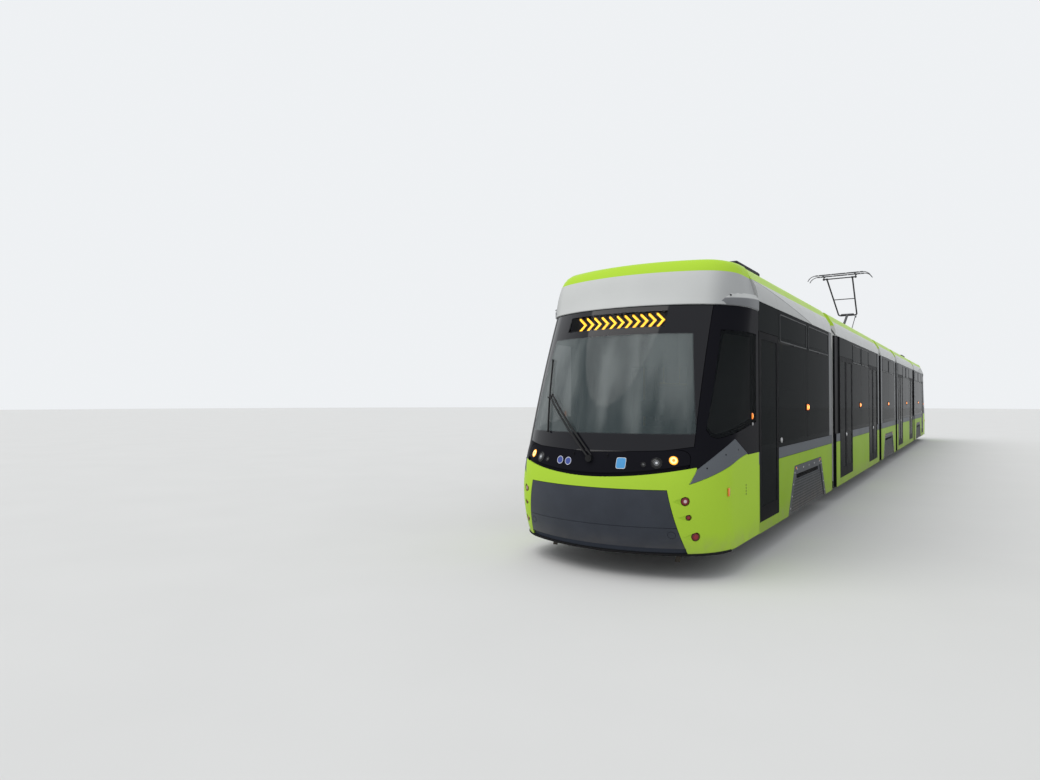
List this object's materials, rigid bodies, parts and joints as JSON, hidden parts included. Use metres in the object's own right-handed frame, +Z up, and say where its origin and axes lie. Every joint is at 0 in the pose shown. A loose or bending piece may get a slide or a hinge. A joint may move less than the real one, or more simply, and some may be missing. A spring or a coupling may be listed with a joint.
{
  "type": "articulated low-floor tram",
  "caption": "Low-floor articulated tram with hinged car bodies, cabs at both ends, plug doors, bogies under the cab and centre cars and a raised pantograph.",
  "frame": {"origin": "on the floor under the centre of the centre car; the floor is where the wheel flanges stand, one flange depth below the rail head", "axes": "+X towards the front cab along the track, +Y to the tram's left, +Z up"},
  "size_m": [31.148, 2.5, 5.5879],
  "materials": {
    "wheel_steel": "machined tread, dark sides",
    "bogie_frame": "grey-black paint",
    "floor_and_frame": "dark grey",
    "body_panels": "gloss lime green with a grey belt and black window posts",
    "roof_panels": "satin silver grey with a lime edge",
    "tinted_glass": "dark tint",
    "door_frames": "gloss black",
    "nose_shell": "gloss lime green, silver and black zones",
    "windscreen_glass": "laminated, lightly tinted",
    "bumper_panel": "satin anthracite",
    "lamps": "clear covers over lamps",
    "interior": "dark trim and seats",
    "wheel_covers": "satin grey",
    "bellows_rubber": "matt, folded",
    "pantograph_steel": "dark grey paint",
    "wiper_arm": "matt black"
  },
  "bodies": {
    "centre_car": {"centre_bogie": "bogie_frame", "centre_glazing": "tinted_glass", "centre_interior": "interior", "centre_roof": "roof_panels", "centre_sides": "body_panels", "centre_underframe": "floor_and_frame", "centre_wheel_covers": "wheel_covers", "front_inner_bellows": "bellows_rubber", "pantograph_base": "pantograph_steel", "rear_inner_bellows": "bellows_rubber"},
    "front_mid_car": {"front_mid_doors": "door_frames", "front_mid_glazing": "tinted_glass", "front_mid_interior": "interior", "front_mid_roof": "roof_panels", "front_mid_sides": "body_panels", "front_mid_underframe": "floor_and_frame", "front_outer_bellows": "bellows_rubber"},
    "front_cab_car": {"front_bumper": "bumper_panel", "front_cab_bogie": "bogie_frame", "front_cab_doors": "door_frames", "front_cab_glazing": "tinted_glass", "front_cab_interior": "interior", "front_cab_roof": "roof_panels", "front_cab_sides": "body_panels", "front_cab_underframe": "floor_and_frame", "front_cab_wheel_covers": "wheel_covers", "front_lamps": "lamps", "front_nose": "nose_shell", "front_windscreen": "windscreen_glass", "front_wiper": "wiper_arm"},
    "rear_mid_car": {"rear_mid_doors": "door_frames", "rear_mid_glazing": "tinted_glass", "rear_mid_interior": "interior", "rear_mid_roof": "roof_panels", "rear_mid_sides": "body_panels", "rear_mid_underframe": "floor_and_frame", "rear_outer_bellows": "bellows_rubber"},
    "rear_cab_car": {"rear_bumper": "bumper_panel", "rear_cab_bogie": "bogie_frame", "rear_cab_doors": "door_frames", "rear_cab_glazing": "tinted_glass", "rear_cab_interior": "interior", "rear_cab_roof": "roof_panels", "rear_cab_sides": "body_panels", "rear_cab_underframe": "floor_and_frame", "rear_cab_wheel_covers": "wheel_covers", "rear_lamps": "lamps", "rear_nose": "nose_shell", "rear_windscreen": "windscreen_glass", "rear_wiper": "wiper_arm"},
    "front_axle_1": {"front_wheelset_1": "wheel_steel"},
    "front_axle_2": {"front_wheelset_2": "wheel_steel"},
    "rear_axle_1": {"rear_wheelset_1": "wheel_steel"},
    "rear_axle_2": {"rear_wheelset_2": "wheel_steel"},
    "centre_axle_1": {"centre_wheelset_1": "wheel_steel"},
    "centre_axle_2": {"centre_wheelset_2": "wheel_steel"},
    "pantograph_lower": {"pantograph_lower_arm": "pantograph_steel"},
    "pantograph_upper": {"pantograph_upper_arm": "pantograph_steel"},
    "pantograph_bow": {"pantograph_head": "pantograph_steel"},
    "pantograph_rod": {"pantograph_thrust_rod": "pantograph_steel"}
  },
  "joints": [
    {"name": "front_inner_gangway", "type": "hinge", "parent": "centre_car", "child": "front_mid_car", "pos_m": [2.03, 0, 0.378], "axis": [0, 0, 1], "range_deg": [-16, 16], "deforming": ["front_inner_bellows"]},
    {"name": "front_outer_gangway", "type": "hinge", "parent": "front_mid_car", "child": "front_cab_car", "pos_m": [8.69, 0, 0.378], "axis": [0, 0, 1], "range_deg": [-16, 16], "deforming": ["front_outer_bellows"]},
    {"name": "front_axle_1_roll", "type": "hinge", "parent": "front_cab_car", "child": "front_axle_1", "pos_m": [11.765, 0, 0.323], "axis": [0, 1, 0], "continuous": true},
    {"name": "front_axle_2_roll", "type": "hinge", "parent": "front_cab_car", "child": "front_axle_2", "pos_m": [9.915, 0, 0.323], "axis": [0, 1, 0], "continuous": true},
    {"name": "rear_inner_gangway", "type": "hinge", "parent": "centre_car", "child": "rear_mid_car", "pos_m": [-2.03, 0, 0.378], "axis": [0, 0, 1], "range_deg": [-16, 16], "deforming": ["rear_inner_bellows"]},
    {"name": "rear_outer_gangway", "type": "hinge", "parent": "rear_mid_car", "child": "rear_cab_car", "pos_m": [-8.69, 0, 0.378], "axis": [0, 0, 1], "range_deg": [-16, 16], "deforming": ["rear_outer_bellows"]},
    {"name": "rear_axle_1_roll", "type": "hinge", "parent": "rear_cab_car", "child": "rear_axle_1", "pos_m": [-11.765, 0, 0.323], "axis": [0, 1, 0], "continuous": true},
    {"name": "rear_axle_2_roll", "type": "hinge", "parent": "rear_cab_car", "child": "rear_axle_2", "pos_m": [-9.915, 0, 0.323], "axis": [0, 1, 0], "continuous": true},
    {"name": "centre_axle_1_roll", "type": "hinge", "parent": "centre_car", "child": "centre_axle_1", "pos_m": [0.925, 0, 0.323], "axis": [0, 1, 0], "continuous": true},
    {"name": "centre_axle_2_roll", "type": "hinge", "parent": "centre_car", "child": "centre_axle_2", "pos_m": [-0.925, 0, 0.323], "axis": [0, 1, 0], "continuous": true},
    {"name": "pantograph_lower_arm_hinge", "type": "hinge", "parent": "centre_car", "child": "pantograph_lower", "pos_m": [0.09, 0, 3.778], "axis": [0, -1, 0], "range_deg": [-15, 22]},
    {"name": "pantograph_knee", "type": "hinge", "parent": "pantograph_lower", "child": "pantograph_upper", "pos_m": [-1.28, 0, 4.528], "axis": [0, -1, 0], "range_deg": [-52, 35]},
    {"name": "pantograph_head_hinge", "type": "hinge", "parent": "pantograph_upper", "child": "pantograph_bow", "pos_m": [0.1, 0, 5.468], "axis": [0, -1, 0], "range_deg": [-20, 30]},
    {"name": "pantograph_rod_hinge", "type": "hinge", "parent": "centre_car", "child": "pantograph_rod", "pos_m": [-0.12, 0, 3.668], "axis": [0, -1, 0], "range_deg": [-20, 25]}
  ],
  "couplings": [
    {"joint": "pantograph_knee", "follows": "pantograph_lower_arm_hinge", "ratio": -2.24},
    {"joint": "pantograph_head_hinge", "follows": "pantograph_lower_arm_hinge", "ratio": 1.24},
    {"joint": "pantograph_rod_hinge", "follows": "pantograph_lower_arm_hinge", "ratio": 1.05}
  ]
}
